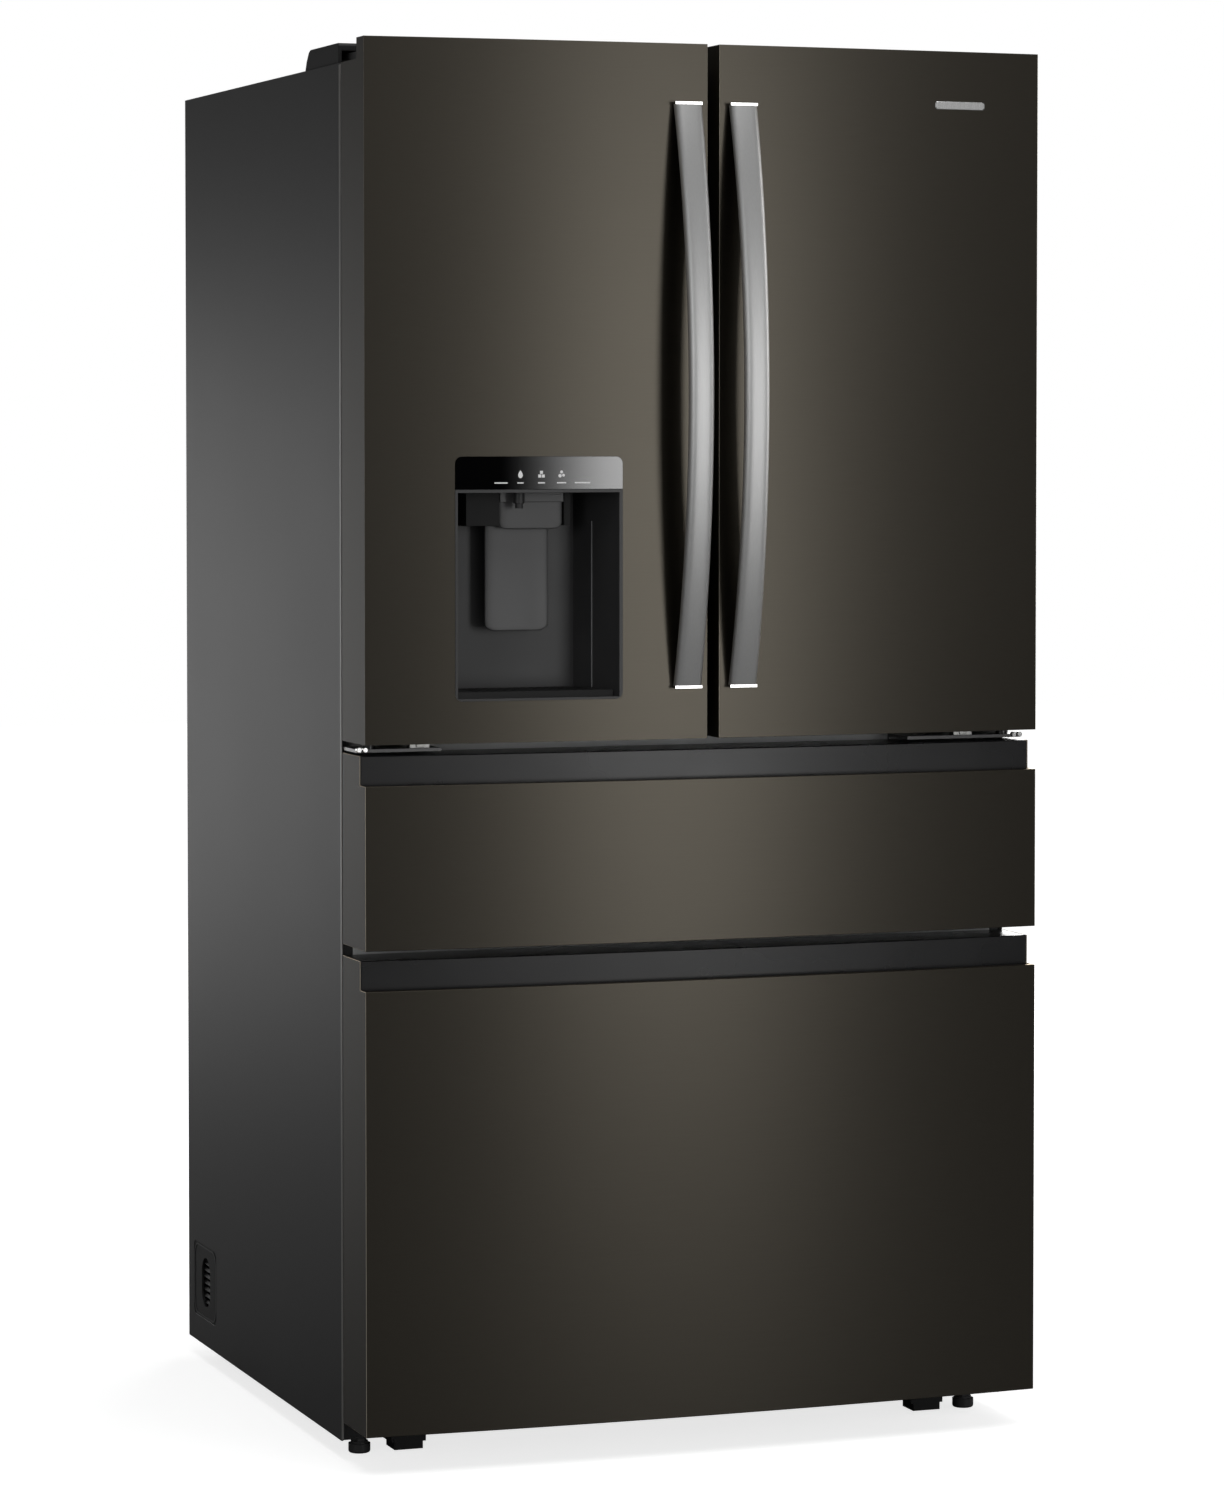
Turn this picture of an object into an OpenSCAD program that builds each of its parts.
// French door refrigerator: two swinging doors above two full-width drawers.
// Millimetres. X points to the viewer's right, the front faces -Y, Z is up.
// Lengths inside the modules are measured back from the plane of the front
// edges of the doors; placed() then centres the whole depth about Y = 0.

/* [Overall size] */
// Width across the cabinet, the doors and the drawers
width = 905; // [895:1:915]
// Distance from the door edge plane to the back panel
depth = 860; // [852:1:880]
// How far the middle of every front bulges ahead of its side edges
bow_depth = 15; // [12:0.5:16]

/* [Handles] */
// Clear finger space behind the middle of a door handle
handle_reach = 50; // [44:1:56]
// Thickness of the handle bar
handle_thick = 14; // [12:0.5:15]

/* [Fresh food fittings] */
// Height of the glass half shelves
half_shelf_z = 1455; // [1430:5:1500]
// Height of the full-width glass shelf
wide_shelf_z = 1275; // [1240:5:1300]
// Wall thickness of the bins, crispers and baskets
bin_wall = 3; // [2:0.5:4]
// Height of the crisper tubs
crisper_high = 178; // [150:2:184]

/* [Dispenser] */
// Depth of the recess behind the front plane
recess_depth = 88; // [84:0.5:89]
// Thickness of both dispenser levers
lever_thick = 7; // [5:0.5:8]

/* [Running gear] */
// Radius of the rear rollers
rear_wheel_r = 20; // [18:0.5:22]
// Radius of the front rollers
front_wheel_r = 12; // [10:0.5:12]
// Diameter of a levelling foot
foot_d = 28; // [24:1:32]

/* [Hidden] */
half = width / 2;
back_y = depth;
face_y = 108;             // front face of the cabinet
door_back = 98;           // rear face of doors and drawer fronts
front_y = -bow_depth - handle_reach - handle_thick;
centre_y = (front_y + back_y) / 2;
bow_radius = (half * half + bow_depth * bow_depth) / (2 * bow_depth);
sheet = 1.5;              // steel of the doors and drawer fronts
base_z = 24;              // underside of the cabinet
top_z = 1752;             // top of the cabinet
door_z0 = 908;
door_z1 = 1778;
gap_x = 8;                // half of the gap between the two doors
middle_z0 = 653;
middle_z1 = 857;
freezer_z0 = 49;
freezer_z1 = 603;
pull_high = 36;           // black pull trim above each drawer front
pull_set = 24;            // how far the trim stands behind the front
pull_deep = 26;           // depth of the finger groove
cav = half - 47.5;        // half width of every compartment
fresh_z0 = 930;
fresh_z1 = 1700;
mid_z0 = 672;
mid_z1 = 842;
frz_z0 = 95;
frz_z1 = 588;
step_z = 282;             // freezer floor above the machine compartment
machine_z = 262;
hinge_x = half - 22;
hinge_y = 58;
pin_r = 4;
fit = 0.05;               // radial clearance of every running fit
disp_x0 = -338;
disp_x1 = -120.5;
disp_z0 = 960;
disp_z1 = 1263;
panel_z = 1222;           // lower edge of the control panel
handle_x0 = 19;
handle_x1 = 55;
handle_z0 = 972;
handle_z1 = 1705;
$fn = 32;

steel = "#5b5751";
dark = "#2c2d2f";
black = "#151516";
white = "#e9eaea";
grey = "#8d8f91";
clear = "#cfe0e6";

// ---------------------------------------------------------------- helpers

module placed() {
  translate([0, -centre_y, 0]) children();
}

module box(x0, x1, y0, y1, z0, z1) {
  translate([x0, y0, z0]) cube([x1 - x0, y1 - y0, z1 - z0]);
}

module both_sides() {
  children();
  mirror([1, 0, 0]) children();
}

// Rounded rectangle from the origin
module rrect(w, h, r) {
  translate([r, 0]) square([w - 2 * r, h]);
  translate([0, r]) square([w, h - 2 * r]);
  for (x = [r, w - r]) {
    for (y = [r, h - r]) translate([x, y]) circle(r = r);
  }
}

// Rounded rectangle in X and Z, thick in Y
module plate_xz(x0, x1, z0, z1, y0, y1, r) {
  translate([x0, y1, z0]) rotate([90, 0, 0])
    linear_extrude(y1 - y0) rrect(x1 - x0, z1 - z0, r);
}

// Rounded rectangle in Y and Z, thick in X
module plate_yz(y0, y1, z0, z1, x0, x1, r) {
  translate([x0, y0, z0]) rotate([90, 0, 90])
    linear_extrude(x1 - x0) rrect(y1 - y0, z1 - z0, r);
}

module rod_x(x0, x1, y, z, r) {
  translate([x0, y, z]) rotate([0, 90, 0]) cylinder(r = r, h = x1 - x0);
}

module rod_y(x, y0, y1, z, r) {
  translate([x, y1, z]) rotate([90, 0, 0]) cylinder(r = r, h = y1 - y0);
}

module rod_z(x, y, z0, z1, r) {
  translate([x, y, z0]) cylinder(r = r, h = z1 - z0);
}

// Everything between the bowed front, set back by inset, and the plane y1
module bow(x0, x1, inset, y1, z0, z1) {
  intersection() {
    box(x0, x1, -bow_depth - 20, y1, z0, z1);
    translate([0, bow_radius - bow_depth + inset, z0 - 1])
      cylinder(r = bow_radius, h = z1 - z0 + 2, $fn = 720);
  }
}

// A sheet that follows the bow, from inset a to inset b
module bow_sheet(x0, x1, a, b, z0, z1) {
  difference() {
    bow(x0, x1, a, b + 20, z0, z1);
    bow(x0 - 1, x1 + 1, b, b + 21, z0 - 1, z1 + 1);
  }
}

// Flat ring in X and Z
module ring_xz(x0, x1, z0, z1, ix0, ix1, iz0, iz1, y0, y1) {
  difference() {
    box(x0, x1, y0, y1, z0, z1);
    box(ix0, ix1, y0 - 1, y1 + 1, iz0, iz1);
  }
}

// Open-topped tub with a rim round the top
module tub(x0, x1, y0, y1, z0, z1, rim) {
  t = bin_wall;
  difference() {
    union() {
      translate([x0, y0, z0]) linear_extrude(z1 - z0) rrect(x1 - x0, y1 - y0, 12);
      translate([x0 - rim, y0, z1 - 4])
        linear_extrude(4) rrect(x1 - x0 + 2 * rim, y1 - y0, 12);
    }
    translate([x0 + t, y0 + t, z0 + t])
      linear_extrude(z1 - z0) rrect(x1 - x0 - 2 * t, y1 - y0 - 2 * t, 9);
  }
}

// ---------------------------------------------------------------- cabinet

module vent_outline(grow) {
  plate_yz(714 - grow, 831 + grow, 61 - grow, 163 + grow, -half - 1, -half + 6, 8);
}

// Painted steel wrapper: two sides, the top and a folded front flange
module cabinet_shell() {
  color(dark) placed() difference() {
    union() {
      difference() {
        box(-half, half, face_y, back_y, base_z, top_z);
        box(-half + 3, half - 3, face_y - 1, back_y + 1, base_z - 1, top_z - 3);
      }
      difference() {
        box(-half + 2, half - 2, face_y, face_y + 2, base_z + 38, top_z - 2);
        box(-half + 16, half - 16, face_y - 1, face_y + 3, base_z + 37, top_z - 16);
      }
    }
    both_sides() vent_outline(0);
  }
}

module side_ledge(y0, y1, z) {
  both_sides() box(cav - 8, cav + 1, y0, y1, z - 12, z);
}

// Insulated inner body with the three compartments
module cabinet_liner() {
  color(white) placed() {
    difference() {
      union() {
        box(-half + 3, half - 3, face_y + 2, back_y - 3, base_z + 38, top_z - 3);
        box(-half + 16, half - 16, face_y, face_y + 3, base_z + 38, top_z - 16);
      }
      box(-cav, cav, face_y - 1, back_y - 70, fresh_z0, fresh_z1);
      box(-cav, cav, face_y - 1, back_y - 70, mid_z0, mid_z1);
      box(-cav, cav, face_y - 1, back_y - 90, step_z, frz_z1);
      box(-cav, cav, face_y - 1, back_y - 258, frz_z0, step_z + 1);
      box(-half, half, back_y - 212, back_y, base_z, machine_z);
    }
    side_ledge(250, back_y - 95, half_shelf_z);
    side_ledge(250, back_y - 95, wide_shelf_z);
    side_ledge(270, back_y - 95, fresh_z0 + crisper_high + 12);
  }
}

// Ribbed sheet that closes the back
module back_panel() {
  color(grey) placed() {
    difference() {
      box(-half + 3, half - 3, back_y - 3, back_y - 1, machine_z, top_z - 3);
      for (z = [machine_z + 60 : 240 : top_z - 120]) {
        box(-half + 60, half - 60, back_y - 1.8, back_y, z, z + 26);
      }
    }
    box(-half + 3, half - 3, back_y - 2, back_y, top_z - 23, top_z - 3);
    box(-half + 3, half - 3, back_y - 2, back_y, machine_z, machine_z + 14);
  }
}

module front_bracket() {
  x = half - 95;
  difference() {
    union() {
      box(x - 23, x + 23, 129, 165, 12, base_z);
      box(x - 19, x + 19, 129, 165, 2.5, 13);
    }
    box(x - 12.5, x + 12.5, 133, 161, 0, base_z + 4);
  }
  rod_x(x - 14, x + 14, 147, front_wheel_r + 1.5, 3);
}

module rear_bracket() {
  x = half - 52.5;
  for (s = [-1, 1]) {
    translate([x + s * 14.5, 0, 0]) box(-2, 2, back_y - 78, back_y - 42, 10, 50);
  }
  rod_x(x - 14, x + 14, back_y - 60, rear_wheel_r, 4);
}

// Floor pan with front beam, side rails, roller brackets and foot bosses
module base_frame() {
  color(grey) placed() {
    difference() {
      union() {
        box(-half + 3, half - 3, face_y + 4, back_y - 4, base_z, base_z + 3);
        box(-half + 3, half - 3, face_y + 4, face_y + 20, base_z + 2, base_z + 38);
        both_sides() box(half - 18, half - 3, face_y + 19, 640, base_z + 2, base_z + 38);
        both_sides() rod_z(half - 35, 147, base_z + 2, base_z + 36, 12);
      }
      both_sides() rod_z(half - 35, 147, base_z - 1, base_z + 40, 5 + fit);
      both_sides() {
        box(half - 107.5, half - 82.5, 133, 161, base_z - 1, base_z + 5);
        box(half - 65, half - 40, back_y - 85, back_y - 35, base_z - 1, base_z + 5);
      }
    }
    both_sides() front_bracket();
    both_sides() rear_bracket();
  }
}

// Louvred cover of the machine compartment, with the cord gland
module machine_cover() {
  color(grey) placed() {
    difference() {
      box(-half + 4, half - 4, back_y - 3, back_y - 1, base_z + 6, machine_z - 2);
      for (x = [-300 : 30 : 120]) {
        plate_xz(x, x + 8, 70, 210, back_y - 4, back_y, 3.9);
      }
      rod_y(-half + 92, back_y - 4, back_y, 150, 13);
      rod_y(half - 90, back_y - 4, back_y, 70, 10);
    }
    difference() {
      rod_y(half - 90, back_y - 12, back_y, 70, 12);
      rod_y(half - 90, back_y - 13, back_y + 1, 70, 5);
    }
  }
}

// Recessed air vents low in both sides
module side_vents() {
  color(dark) placed() both_sides() {
    difference() {
      intersection() {
        vent_outline(0);
        box(-half + 1, -half + 4, 700, 840, 50, 170);
      }
      plate_yz(749, 793, 78, 146, -half, -half + 5, 21);
    }
    intersection() {
      plate_yz(748, 794, 77, 147, -half + 1, -half + 6, 21);
      for (z = [82 : 9 : 146]) {
        translate([-half + 3.4, 740, z]) rotate([0, 35, 0]) cube([1.2, 62, 7], center = false);
      }
    }
  }
}

// Plastic caps over the top hinges
module hinge_covers() {
  color(black) placed() both_sides() {
    difference() {
      translate([half - 78, 0, 0]) rotate([90, 0, 90]) linear_extrude(75)
        polygon([[119, top_z], [119, 1775], [122, door_z1], [244, door_z1],
                 [252, 1775], [262, 1764], [268, top_z]]);
      translate([half - 75, 0, 0]) rotate([90, 0, 90]) linear_extrude(69)
        polygon([[122, top_z - 1], [122, 1775], [243, 1775], [250, 1772],
                 [259, 1762], [264, top_z - 1]]);
      box(half - 36, half - 8, 117, 125, top_z - 1, 1768);
    }
  }
}

// Two top hinges and two centre hinges with their pins
module hinge_brackets() {
  color(grey) placed() {
    both_sides() {
      box(half - 54, half - 7, 124, 236, top_z, top_z + 5);
      box(hinge_x - 10, hinge_x + 10, hinge_y, 130, 1754, 1764);
      rod_z(hinge_x, hinge_y, 1753.5, 1776, 10);
      rod_z(hinge_x, hinge_y, 1731, 1754, pin_r);
      for (y = [150, 180, 210]) rod_z(half - 40, y, top_z + 4, top_z + 9, 6);
    }
    both_sides() {
      rod_z(hinge_x, hinge_y, 899, 906, 8);
      rod_z(hinge_x, hinge_y, 899, 928, pin_r);
    }
    box(-half + 2, -half + 112, 42, 104, 896, 900);
    box(-half + 8, -half + 112, 103, 107.9, 881, 906);
    box(half - 162, half - 2, 42, 104, 896, 900);
    box(half - 162, half - 8, 103, 107.9, 881, 906);
  }
}

// ------------------------------------------------ fresh food compartment

module shelf(x0, x1, y0, y1, z) {
  box(x0 + 4, x1 - 4, y0 + 4, y1 - 4, z + 5, z + 9);
  difference() {
    translate([x0, y0, z]) linear_extrude(12) rrect(x1 - x0, y1 - y0, 6);
    box(x0 + 14, x1 - 14, y0 + 14, y1 - 14, z - 1, z + 13);
  }
}

module shelf_left() {
  color(clear) placed() shelf(-cav + 1, -2, 250, back_y - 93, half_shelf_z);
}

module shelf_right() {
  color(clear) placed() shelf(2, cav - 1, 250, back_y - 93, half_shelf_z);
}

module shelf_wide() {
  color(clear) placed() shelf(-cav + 1, cav - 1, 250, back_y - 93, wide_shelf_z);
}

module crisper_cover() {
  color(clear) placed()
    shelf(-cav + 1, cav - 1, 270, back_y - 93, fresh_z0 + crisper_high + 12);
}

module crisper() {
  x0 = 6;
  x1 = cav - 6;
  difference() {
    union() {
      tub(x0, x1, 300, back_y - 100, fresh_z0 + 1, fresh_z0 + crisper_high, 0);
      box(x0 + 20, x1 - 20, 290, 301, fresh_z0 + crisper_high - 26, fresh_z0 + crisper_high);
    }
    box(x0 + 23, x1 - 23, 293, 301, fresh_z0 + crisper_high - 27,
        fresh_z0 + crisper_high - 4);
  }
}

module crisper_left() {
  color(clear) placed() mirror([1, 0, 0]) crisper();
}

module crisper_right() {
  color(clear) placed() crisper();
}

// Air duct up the back wall with outlet slots and a bracket for the half shelves
module air_duct() {
  color(white) placed() {
    difference() {
      box(-62, 62, back_y - 92, back_y - 70, 960, 1690);
      for (z = [1180 : 60 : 1660]) {
        plate_xz(-44, 44, z, z + 10, back_y - 93, back_y - 82, 4.9);
      }
    }
    box(-14, 14, 560, back_y - 91, half_shelf_z - 12, half_shelf_z);
  }
}

module ceiling_lamp() {
  color(white) placed()
    translate([-110, 330, fresh_z1 - 8]) linear_extrude(8) rrect(220, 90, 12);
}

// ------------------------------------------------------- cooling circuit

module evaporator() {
  y0 = back_y - 146;
  y1 = back_y - 92;
  color(grey) placed() {
    for (x = [-300 : 25 : 300]) box(x - 0.75, x + 0.75, y0, y1, 292, 446);
    for (z = [312 : 38 : 430]) {
      for (y = [y0 + 14, y1 - 14]) rod_x(-312, 312, y, z, 4.5);
    }
    box(-312, -300, y0 + 6, y1 - 6, 300, 440);
    box(300, 312, y0 + 6, y1 - 6, 300, 440);
  }
}

module blade(r0, r1, chord, thick, pitch) {
  translate([r0, 0, 0]) rotate([pitch, 0, 0])
    translate([0, -chord / 2, -thick / 2]) cube([r1 - r0, chord, thick]);
}

module fan_wheel(r, hub, long, bore) {
  difference() {
    union() {
      cylinder(r = hub, h = long);
      for (a = [0 : 72 : 359]) {
        rotate([0, 0, a]) translate([0, 0, long / 2]) blade(hub - 3, r, 26, 2, 32);
      }
    }
    translate([0, 0, -30]) cylinder(r = bore, h = long + 60);
  }
}

module evaporator_fan() {
  color(black) placed() translate([0, back_y - 128, 522]) rotate([90, 0, 0])
    fan_wheel(54, 15, 20, 3 + fit);
}

// Grille wall in front of the evaporator, carrying the fan motor
module freezer_duct() {
  y0 = back_y - 160;
  color(white) placed() {
    difference() {
      box(-cav + 1, cav - 1, y0, y0 + 3, step_z + 2, frz_z1 - 2);
      for (x = [-330 : 40 : 330]) plate_xz(x - 12, x + 12, 330, 340, y0 - 1, y0 + 4, 4.9);
      for (x = [-330 : 40 : 330]) plate_xz(x - 12, x + 12, 370, 380, y0 - 1, y0 + 4, 4.9);
      for (z = [476 : 13 : 570]) {
        w = sqrt(max(1, 52 * 52 - (z + 3.5 - 522) * (z + 3.5 - 522)));
        box(-w, w, y0 - 1, y0 + 4, z, z + 7);
      }
    }
    difference() {
      rod_y(0, y0 + 2, back_y - 104, 522, 62);
      rod_y(0, y0 + 1, back_y - 103, 522, 59);
    }
    box(-60, 60, back_y - 110, back_y - 104, 515, 529);
    rod_y(0, back_y - 124, back_y - 106, 522, 17);
    rod_y(0, back_y - 150, back_y - 120, 522, 3);
  }
}

module compressor() {
  color(black) placed() translate([240, back_y - 112, 27]) {
    rotate_extrude($fn = 64) {
      translate([0, 14]) square([74, 118]);
      translate([0, 12]) square([60, 148]);
      translate([60, 132 - 14 + 14]) circle(r = 14);
      translate([60, 26]) circle(r = 14);
    }
    translate([-88, -88, 8]) cube([176, 176, 5]);
    for (x = [-72, 72]) {
      for (y = [-72, 72]) translate([x, y, 0]) cylinder(r = 12, h = 9);
    }
    translate([60, -22, 60]) cube([34, 44, 50]);
  }
}

// Finned condenser with the fan shroud and motor
module condenser() {
  y0 = back_y - 175;
  color(grey) placed() {
    for (x = [-330 : 15 : -105]) box(x - 0.75, x + 0.75, y0, y0 + 130, 40, 190);
    for (z = [60 : 38 : 180]) {
      for (y = [y0 + 30, y0 + 100]) rod_x(-342, -94, y, z, 4.5);
    }
    box(-342, -330, y0, y0 + 130, 27, 192);
    difference() {
      box(-105, -90, y0 - 3, y0 + 133, 27, 196);
      rod_x(-106, -89, y0 + 65, 116, 62);
    }
    box(-100, 12, y0 + 50, y0 + 80, 27, 31);
    box(-12, 12, y0 + 50, y0 + 80, 27, 100);
    rod_x(-16, 30, y0 + 65, 116, 22);
    rod_x(-58, -15, y0 + 65, 116, 3);
  }
}

module condenser_fan() {
  color(black) placed() translate([-46, back_y - 110, 116]) rotate([0, 90, 0])
    fan_wheel(57, 17, 24, 3 + fit);
}

module water_valve() {
  x = -half + 92;
  color(black) placed() {
    box(x - 18, x + 18, back_y - 60, back_y - 24, 128, 172);
    difference() {
      rod_y(x, back_y - 26, back_y - 1, 150, 10);
      rod_y(x, back_y - 20, back_y, 150, 7);
    }
    rod_z(x, back_y - 42, 170, 206, 15);
    box(x - 20, x + 16, back_y - 62, back_y - 58, 27, 168);
  }
}

// Four fixed rails on the compartment walls
module cabinet_rails() {
  color(grey) placed() both_sides() {
    box(cav - 8, cav, 125, 700, 800, 824);
    box(cav - 8, cav, 125, 595, 262, 294);
  }
}

// ---------------------------------------------------------- running gear

module wheel(x, y, z, r, bore, wide) {
  difference() {
    union() {
      rod_x(x - wide / 2, x + wide / 2, y, z, r - 0.8);
      rod_x(x - wide / 2 + 3, x + wide / 2 - 3, y, z, r);
    }
    rod_x(x - wide, x + wide, y, z, bore);
  }
}

module front_rollers() {
  color(black) placed() both_sides()
    wheel(half - 95, 147, front_wheel_r + 1.5, front_wheel_r, 3 + fit, 24);
}

module rear_rollers() {
  color(black) placed() both_sides()
    wheel(half - 52.5, back_y - 60, rear_wheel_r, rear_wheel_r, 4 + fit, 24);
}

module foot() {
  translate([half - 35, 147, 0]) {
    rotate_extrude() {
      square([foot_d / 2 - 3, 15]);
      translate([0, 3]) square([foot_d / 2, 9]);
      translate([foot_d / 2 - 3, 3]) circle(r = 3);
    }
    translate([0, 0, 15]) cylinder(r = 9, h = 6, $fn = 6);
    translate([0, 0, 14]) cylinder(r = 5, h = 40);
  }
}

module foot_left() {
  color(black) placed() mirror([1, 0, 0]) foot();
}

module foot_right() {
  color(black) placed() foot();
}

// ------------------------------------------------------------------ doors
// Doors are drawn on the right side and mirrored for the left one.

module hinge_notch() {
  box(hinge_x - 24, half + 1, 31, door_back + 1, top_z, door_z1 + 1);
}

// Bowed steel pan: front, both sides, top and bottom
module door_skin() {
  difference() {
    bow(gap_x, half, 0, door_back, door_z0, door_z1);
    bow(gap_x + sheet, half - sheet, sheet, door_back + 1,
        door_z0 + sheet, door_z1 - sheet);
    hinge_notch();
    rod_z(hinge_x, hinge_y, door_z0 - 1, door_z0 + 3, 6);
  }
}

// Insulated inner door with ribs that hold the bins
module door_liner() {
  difference() {
    bow(gap_x + sheet, half - sheet, sheet, door_back, door_z0 + sheet, door_z1 - sheet);
    hinge_notch();
    rod_z(hinge_x, hinge_y, top_z - 24, top_z + 1, pin_r + fit);
    rod_z(hinge_x, hinge_y, door_z0, door_z0 + 23, pin_r + fit);
  }
  box(cav - 16, cav - 5, door_back - 1, 150, 955, 1685);
  box(50, 66, door_back - 1, 150, 955, 1685);
}

module bin_lugs(z) {
  box(cav - 22, cav - 15, 104, 146, z - 8, z);
  box(65, 72, 104, 146, z - 8, z);
}

module door_bin(z, high) {
  tub(68, cav - 18, 101, 226, z, z + high, 0);
}

module door_gasket() {
  ring_xz(gap_x + 3, hinge_x - 0.5, 911, 1722, 28, cav + 3, 929, 1702, door_back, 107.5);
}

// Arched bar handle with solid ends against the door
module handle() {
  r = (366.5 * 366.5 + handle_reach * handle_reach) / (2 * handle_reach) + handle_thick / 2;
  w = handle_x1 - handle_x0;
  mid_z = (handle_z0 + handle_z1) / 2;
  difference() {
    union() {
      intersection() {
        translate([(handle_x0 + handle_x1) / 2,
                   -bow_depth - handle_reach - handle_thick / 2 + r, mid_z])
          rotate([90, 0, -90]) rotate([0, 0, -18])
            rotate_extrude(angle = 36, $fn = 360)
              translate([r - handle_thick / 2, -w / 2]) rrect(handle_thick, w, 5.5);
        box(0, 100, -bow_depth - 100, 0, handle_z0, handle_z1);
      }
      for (z = [handle_z0 + 1, handle_z1 - 35]) {
        box(handle_x0 + 5, handle_x1 - 5, -bow_depth - 8.5, 0, z, z + 34);
      }
    }
    bow(0, 100, 0, 50, handle_z0 - 10, handle_z1 + 10);
  }
}

// ------------------------------------------------------------- left door

module dispenser_prism(y1) {
  plate_xz(disp_x0, disp_x1, disp_z0, disp_z1, -bow_depth - 5, y1, 9);
}

module left_skin() {
  color(steel) placed() difference() {
    mirror([1, 0, 0]) door_skin();
    dispenser_prism(60);
  }
}

module left_liner() {
  color(white) placed() {
    difference() {
      mirror([1, 0, 0]) door_liner();
      dispenser_prism(recess_depth + 3);
    }
    mirror([1, 0, 0]) {
      bin_lugs(990);
      box(65, cav - 15, door_back - 1, 190, 1288, 1299);
    }
    for (z = [936, 1684]) {
      difference() {
        box(-49, -30, door_back - 1, 125, z, z + 10);
        rod_z(-30, 125, z - 1, z + 11, 5);
      }
    }
    rod_z(-36, 117, 940, 962, 3);
    rod_z(-36, 117, 1668, 1690, 3);
  }
}

module left_gasket() {
  color(grey) placed() mirror([1, 0, 0]) door_gasket();
}

module left_handle() {
  color(steel) placed() mirror([1, 0, 0]) handle();
}

// Recess lining with its frame, lever hangers and pivot pins
module dispenser_housing() {
  color(dark) placed() {
    difference() {
      intersection() {
        dispenser_prism(recess_depth + 3);
        bow(disp_x0 - 1, disp_x1 + 1, -0.8, recess_depth + 4, disp_z0 - 1, disp_z1 + 1);
      }
      bow(disp_x0 - 1, disp_x1 + 1, -3, 8, panel_z, disp_z1 + 1);
      translate([0, 0, disp_z0 + 3]) linear_extrude(panel_z - disp_z0 - 7)
        polygon([[disp_x0 + 3, -bow_depth - 9], [disp_x0 + 4, 6],
                 [disp_x0 + 12, 40], [disp_x0 + 27, recess_depth],
                 [disp_x1 - 30, recess_depth], [disp_x1 - 20, 44],
                 [disp_x1 - 9, 10], [disp_x1 - 3, -bow_depth - 9]]);
    }
    for (x = [-269, -180]) box(x, x + 3, 38, 50, 1204, 1219);
    rod_x(-268, -178, 44, 1210, 2);
    for (x = [-282, -193]) box(x, x + 3, 53, 67, 1178, 1219);
    rod_x(-281, -191, 60, 1186, 2);
  }
}

module control_panel() {
  color(black) placed() intersection() {
    dispenser_prism(40);
    bow_sheet(disp_x0 - 1, disp_x1 + 1, -1, 8, panel_z, disp_z1 + 1);
  }
}

module nozzle() {
  color(black) placed() difference() {
    union() {
      rod_z(-245, 22, 1204, panel_z - 4, 7);
      rod_z(-245, 22, 1198, 1206, 5);
    }
    rod_z(-245, 22, 1190, 1212, 3);
  }
}

module lever(x0, x1, y, z_pin, z0) {
  r = lever_thick / 2 + 1;
  difference() {
    union() {
      rod_x(x0, x1, y, z_pin, r);
      plate_xz(x0, x1, z0, z_pin + 1, y - lever_thick / 2, y + lever_thick / 2, 3);
    }
    rod_x(x0 - 1, x1 + 1, y, z_pin, 2 + fit);
  }
}

module water_lever() {
  color(black) placed() lever(-265, -181, 44, 1210, 1172);
}

module ice_lever() {
  color(black) placed() lever(-278, -194, 60, 1186, 1044);
}

module drip_tray() {
  color(black) placed() difference() {
    intersection() {
      translate([0, 0, disp_z0 + 3]) linear_extrude(8)
        polygon([[disp_x0 + 5, -3], [disp_x0 + 13, 40], [disp_x0 + 28, 84],
                 [disp_x1 - 31, 84], [disp_x1 - 21, 44], [disp_x1 - 8.5, -3]]);
      bow(disp_x0, disp_x1, 2, 90, disp_z0, disp_z0 + 20);
    }
    for (x = [-306 : 10 : -156]) {
      translate([x, 6, disp_z0 + 6]) linear_extrude(8) rrect(4, 72, 1.9);
    }
  }
}

module ice_bucket() {
  color(clear) placed() difference() {
    mirror([1, 0, 0]) tub(68, cav - 18, 101, 228, 1299, 1600, 0);
    rod_x(-cav, 0, 165, 1352, 6 + fit);
  }
}

module ice_auger() {
  color(grey) placed() {
    rod_x(-cav + 18.5, -68.5, 165, 1352, 6);
    for (i = [0 : 6]) {
      translate([-345 + i * 38, 165, 1352]) rotate([i * 60, 0, 0])
        translate([-2, 0, -9]) cube([4, 42, 18]);
    }
  }
}

module left_bin() {
  color(clear) placed() mirror([1, 0, 0]) door_bin(990, 120);
}

// Folding bar that closes the gap between the doors
module mullion() {
  color(dark) placed() difference() {
    union() {
      box(-42, 2, 108, 126, 952, 1678);
      rod_z(-36, 117, 952, 1678, 9);
    }
    rod_z(-36, 117, 951, 966, 3 + fit);
    rod_z(-36, 117, 1664, 1679, 3 + fit);
  }
}

// ------------------------------------------------------------ right door

module right_skin() {
  color(steel) placed() door_skin();
}

module right_liner() {
  color(white) placed() {
    door_liner();
    bin_lugs(990);
    bin_lugs(1390);
  }
}

module right_gasket() {
  color(grey) placed() door_gasket();
}

module right_handle() {
  color(steel) placed() handle();
}

module right_bin_upper() {
  color(clear) placed() door_bin(1390, 110);
}

module right_bin_lower() {
  color(clear) placed() door_bin(990, 130);
}

// ---------------------------------------------------------------- drawers

// Steel front whose sides run up past the top edge beside the pull trim
module drawer_skin(z0, z1) {
  difference() {
    union() {
      bow(-half, half, 0, door_back, z0, z1);
      bow(-half, half, pull_set, door_back, z1 - 1, z1 + pull_high);
    }
    bow(-half + sheet, half - sheet, sheet, door_back + 1, z0 + sheet, z1 - sheet);
    bow(-half + sheet, half - sheet, 10, door_back + 1, z1 - 30, z1 + pull_high + 1);
  }
}

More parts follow.
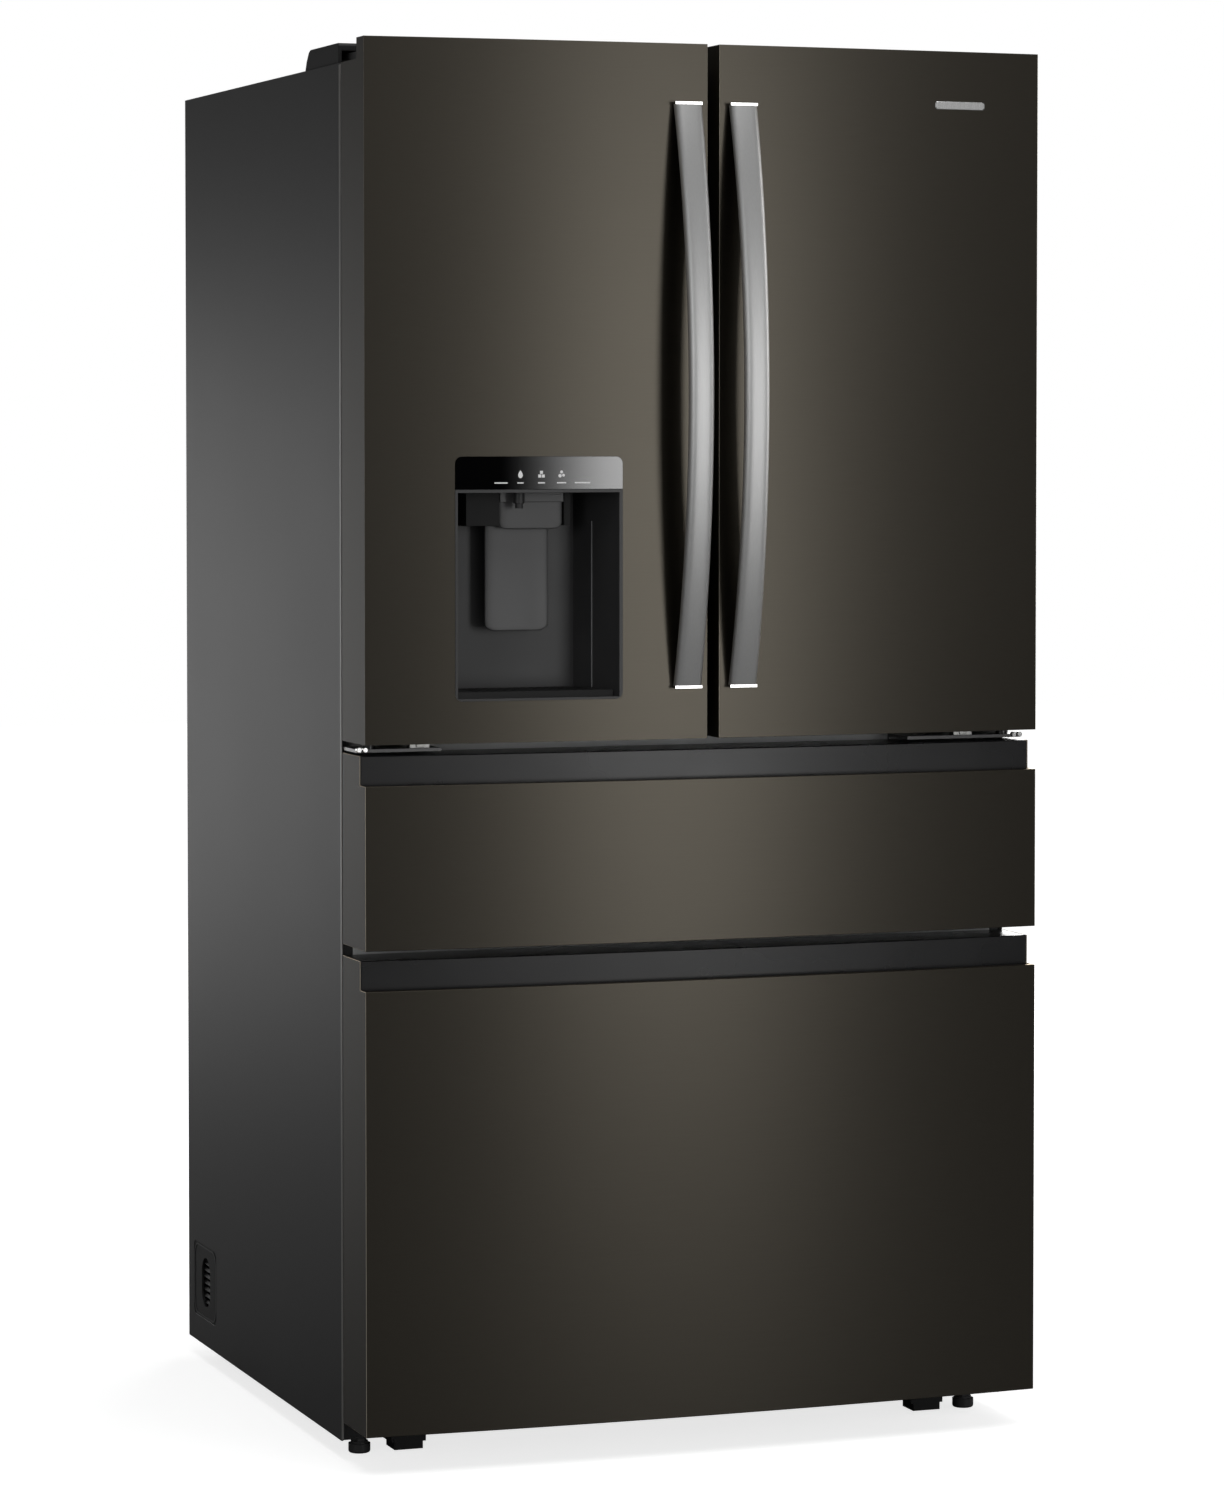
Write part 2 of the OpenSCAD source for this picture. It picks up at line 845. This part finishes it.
module drawer_liner(z0, z1) {
  x = half - sheet;
  bow(-x, x, sheet, door_back, z0 + sheet, z1 - pull_deep - 4);
  bow_sheet(-x, x, sheet, 7, z1 - pull_deep - 5, z1 - sheet);
}

// Black trim with the finger groove behind the top lip
module drawer_pull(z1) {
  x = half - sheet;
  bow(-x, x, pull_set, door_back, z1 - pull_deep - 4, z1 + pull_high);
  bow_sheet(-x, x, 7, pull_set + 1, z1 - pull_deep - 4, z1 - pull_deep);
  bow_sheet(-x, x, 7, 10, z1 - pull_deep - 4, z1 - sheet);
}

module drawer_gasket(z0, z1, iz0, iz1) {
  ring_xz(-hinge_x, hinge_x, z0, z1, -cav - 3, cav + 3, iz0, iz1, door_back, 107.5);
}

module drawer_rails(y1, z0, z1) {
  both_sides() {
    box(cav - 17, cav - 9, door_back, y1, z0, z1);
    box(cav - 45, cav - 9, door_back, door_back + 3, z0 - 20, z1);
  }
}

module middle_skin() {
  color(steel) placed() drawer_skin(middle_z0, middle_z1);
}

module middle_liner() {
  color(white) placed() drawer_liner(middle_z0, middle_z1);
}

module middle_gasket() {
  color(grey) placed() drawer_gasket(657, 856, 670, 843);
}

module middle_pull() {
  color(black) placed() drawer_pull(middle_z1);
}

module middle_bin() {
  color(clear) placed() tub(-cav + 21, cav - 21, 103, 620, 682, 828, 11);
}

module middle_rails() {
  color(grey) placed() drawer_rails(600, 800, 824);
}

module freezer_skin() {
  color(steel) placed() drawer_skin(freezer_z0, freezer_z1);
}

module freezer_liner() {
  color(white) placed() drawer_liner(freezer_z0, freezer_z1);
}

module freezer_gasket() {
  color(grey) placed() drawer_gasket(76, 602, 93, 590);
}

module freezer_pull() {
  color(black) placed() drawer_pull(freezer_z1);
}

module freezer_basket() {
  color(clear) placed() {
    tub(-cav + 21, cav - 21, 103, 585, 108, 298, 11);
    drawer_rails(560, 266, 295);
  }
}

module freezer_tray() {
  color(clear) placed() tub(-cav + 28, cav - 28, 110, 470, 298.5, 430, 0);
}

cabinet_shell();
cabinet_liner();
back_panel();
base_frame();
machine_cover();
side_vents();
hinge_covers();
hinge_brackets();
shelf_left();
shelf_right();
shelf_wide();
crisper_cover();
crisper_left();
crisper_right();
air_duct();
ceiling_lamp();
evaporator();
evaporator_fan();
freezer_duct();
compressor();
condenser();
condenser_fan();
water_valve();
cabinet_rails();
front_rollers();
rear_rollers();
foot_left();
foot_right();
left_skin();
left_liner();
left_gasket();
left_handle();
dispenser_housing();
control_panel();
nozzle();
water_lever();
ice_lever();
drip_tray();
ice_bucket();
ice_auger();
left_bin();
mullion();
right_skin();
right_liner();
right_gasket();
right_handle();
right_bin_upper();
right_bin_lower();
middle_skin();
middle_liner();
middle_gasket();
middle_pull();
middle_bin();
middle_rails();
freezer_skin();
freezer_liner();
freezer_gasket();
freezer_pull();
freezer_basket();
freezer_tray();
